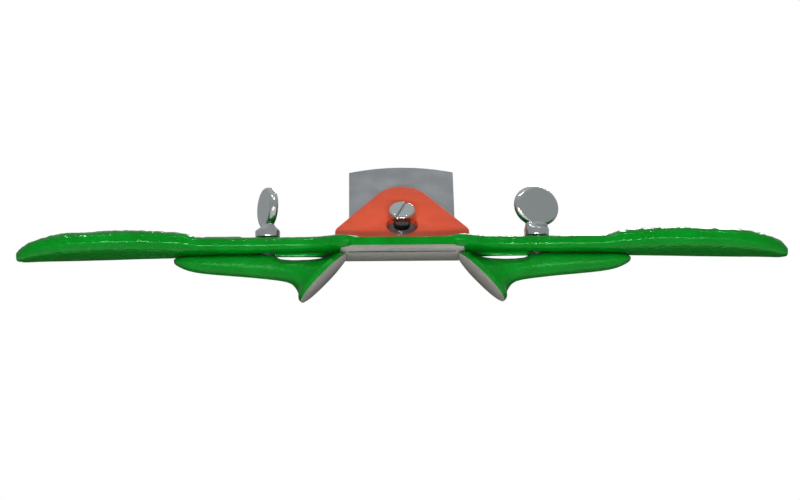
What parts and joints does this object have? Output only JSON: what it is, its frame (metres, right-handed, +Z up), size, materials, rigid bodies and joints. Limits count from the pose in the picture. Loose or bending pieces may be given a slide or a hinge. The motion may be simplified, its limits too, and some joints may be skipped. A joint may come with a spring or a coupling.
{
  "type": "chamfer spokeshave",
  "caption": "Two-handled iron chamfer spokeshave with a slotted cutter, a keyhole cap iron and two sliding 45 degree fences held by thumb screws.",
  "frame": {"origin": "on the bench plane, under the middle of the bounding box", "axes": "+X along the handles to the user's right as seen from the toe, -Y towards the toe, +Z up"},
  "size_m": [0.275, 0.0458, 0.0541],
  "materials": {
    "green_enamel": "gloss enamel over textured cast iron, ground bare on the sole and fence faces",
    "red_enamel": "satin orange-red enamel",
    "ground_steel": "ground tool steel",
    "nickel_plate": "bright nickel plating"
  },
  "bodies": {
    "casting": {"body": "green_enamel"},
    "iron": {"iron": "ground_steel"},
    "cap_iron": {"cap_iron": "red_enamel"},
    "cap_screw": {"cap_screw": "nickel_plate"},
    "left_fence": {"left_fence": "green_enamel"},
    "right_fence": {"right_fence": "green_enamel"},
    "left_thumb_screw": {"left_thumb_screw": "nickel_plate"},
    "right_thumb_screw": {"right_thumb_screw": "nickel_plate"}
  },
  "joints": [
    {"name": "iron_depth", "type": "slide", "parent": "casting", "child": "iron", "axis": [0, 0.6428, 0.766], "range_m": [-0.0003, 0.001]},
    {"name": "cap_iron_release", "type": "slide", "parent": "casting", "child": "cap_iron", "axis": [0, 0.6428, 0.766], "range_m": [0, 0.0048]},
    {"name": "cap_screw_turn", "type": "hinge", "parent": "casting", "child": "cap_screw", "pos_m": [0, 0.00201, 0.02737], "axis": [0, -0.766, 0.6428], "range_deg": [0, 720]},
    {"name": "left_fence_slide", "type": "slide", "parent": "casting", "child": "left_fence", "axis": [1, 0, 0], "range_m": [-0.002, 0.017]},
    {"name": "right_fence_slide", "type": "slide", "parent": "casting", "child": "right_fence", "axis": [-1, 0, 0], "range_m": [-0.002, 0.017]},
    {"name": "left_thumb_screw_turn", "type": "hinge", "parent": "left_fence", "child": "left_thumb_screw", "pos_m": [-0.048, -0.00786, 0.0222], "axis": [0, 0, 1], "range_deg": [0, 450]},
    {"name": "right_thumb_screw_turn", "type": "hinge", "parent": "right_fence", "child": "right_thumb_screw", "pos_m": [0.048, -0.00786, 0.0222], "axis": [0, 0, 1], "range_deg": [0, 450]}
  ]
}
